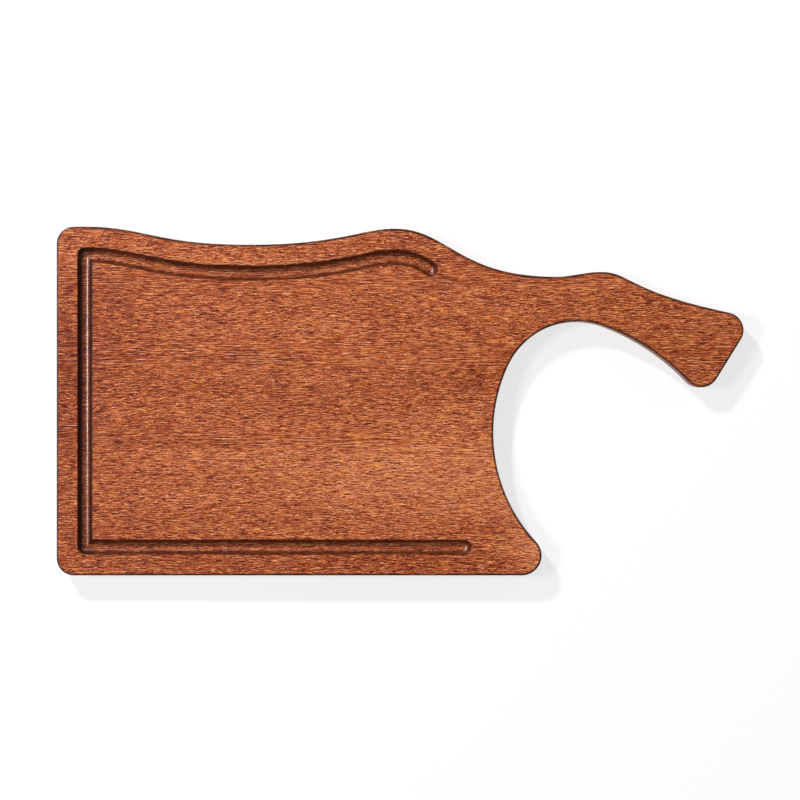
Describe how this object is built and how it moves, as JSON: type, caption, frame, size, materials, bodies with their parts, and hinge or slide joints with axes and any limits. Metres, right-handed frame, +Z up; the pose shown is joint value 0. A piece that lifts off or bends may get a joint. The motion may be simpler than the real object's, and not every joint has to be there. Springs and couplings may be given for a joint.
{
  "type": "carving board",
  "caption": "Flat hardwood carving board with a round-bottomed juice groove, a wavy edge and a curved handle around a hooked cut-out, glued up from long staves.",
  "frame": {"origin": "middle of the board's length and width, on the underside it rests on", "axes": "+X along the grain towards the handle, +Y across the board towards the wavy edge, +Z up through the board, out of the grooved face"},
  "size_m": [0.5, 0.254, 0.02],
  "materials": {
    "hardwood": "oiled, satin"
  },
  "bodies": {
    "root": {"wavy_edge_stave": "hardwood", "handle_stave": "hardwood", "centre_stave": "hardwood", "grip_end_block": "hardwood", "lower_stave": "hardwood", "heel_stave": "hardwood"}
  },
  "joints": []
}
